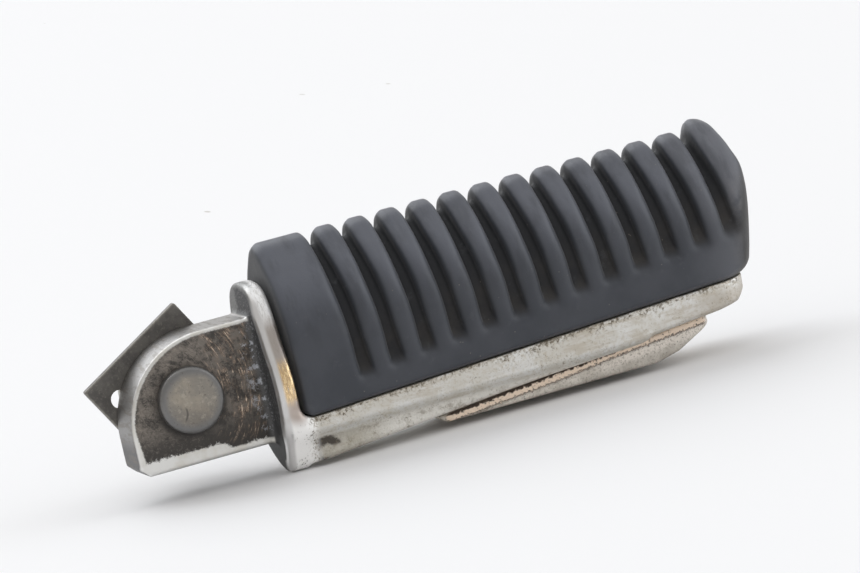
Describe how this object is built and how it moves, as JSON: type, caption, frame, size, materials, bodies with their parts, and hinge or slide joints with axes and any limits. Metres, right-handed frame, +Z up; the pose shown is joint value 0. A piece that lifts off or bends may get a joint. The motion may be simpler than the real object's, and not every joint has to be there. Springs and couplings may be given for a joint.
{
  "type": "motorcycle foot peg",
  "caption": "Folding foot peg: cast body with hinge tongue and flange, ribbed rubber tread with raised end lip, joint pin, detent plate and bar underneath.",
  "frame": {"origin": "on the joint pin's axis, in the middle of the tongue's thickness", "axes": "+X outward along the peg, +Y along the joint pin away from its head, +Z up through the tread's crest"},
  "size_m": [0.1485, 0.0391, 0.0493],
  "materials": {
    "casting": "polished casting, pitted and oxidised, greasy grime round the joint",
    "rubber": "moulded, matt, dusty in the grooves",
    "bar": "worn plating, flaking along its upper edge",
    "pin_steel": "dull, lightly soiled",
    "plate_steel": "dark, oiled and tarnished",
    "zinc_hardware": "dull zinc plating",
    "bearing_steel": "smooth, oiled"
  },
  "bodies": {
    "hinge_pin": {"pivot_pin": "pin_steel", "pin_washer": "zinc_hardware", "split_pin": "zinc_hardware"},
    "peg": {"peg_body": "casting", "tread_rubber": "rubber", "tread_insert_plate": "zinc_hardware", "weld_nut_inner": "zinc_hardware", "weld_nut_outer": "zinc_hardware", "tread_screw_inner": "zinc_hardware", "tread_screw_outer": "zinc_hardware", "underside_bar": "bar", "detent_spring": "bearing_steel"},
    "detent_plate": {"detent_plate": "plate_steel"},
    "detent_ball": {"detent_ball": "bearing_steel"}
  },
  "joints": [
    {"name": "peg_fold", "type": "hinge", "parent": "hinge_pin", "child": "peg", "pos_m": [0, 0, 0], "axis": [0, -1, 0], "range_deg": [0, 90]},
    {"name": "detent_plate_swivel", "type": "hinge", "parent": "peg", "child": "detent_plate", "pos_m": [0, 0, 0], "axis": [0, -1, 0], "range_deg": [-40, 150]},
    {"name": "detent_ball_press", "type": "slide", "parent": "peg", "child": "detent_ball", "axis": [0, -1, 0], "range_m": [0, 0.0012], "stiffness_N_per_m": 2000, "springref_m": -0.002, "deforming": ["detent_spring"]}
  ]
}
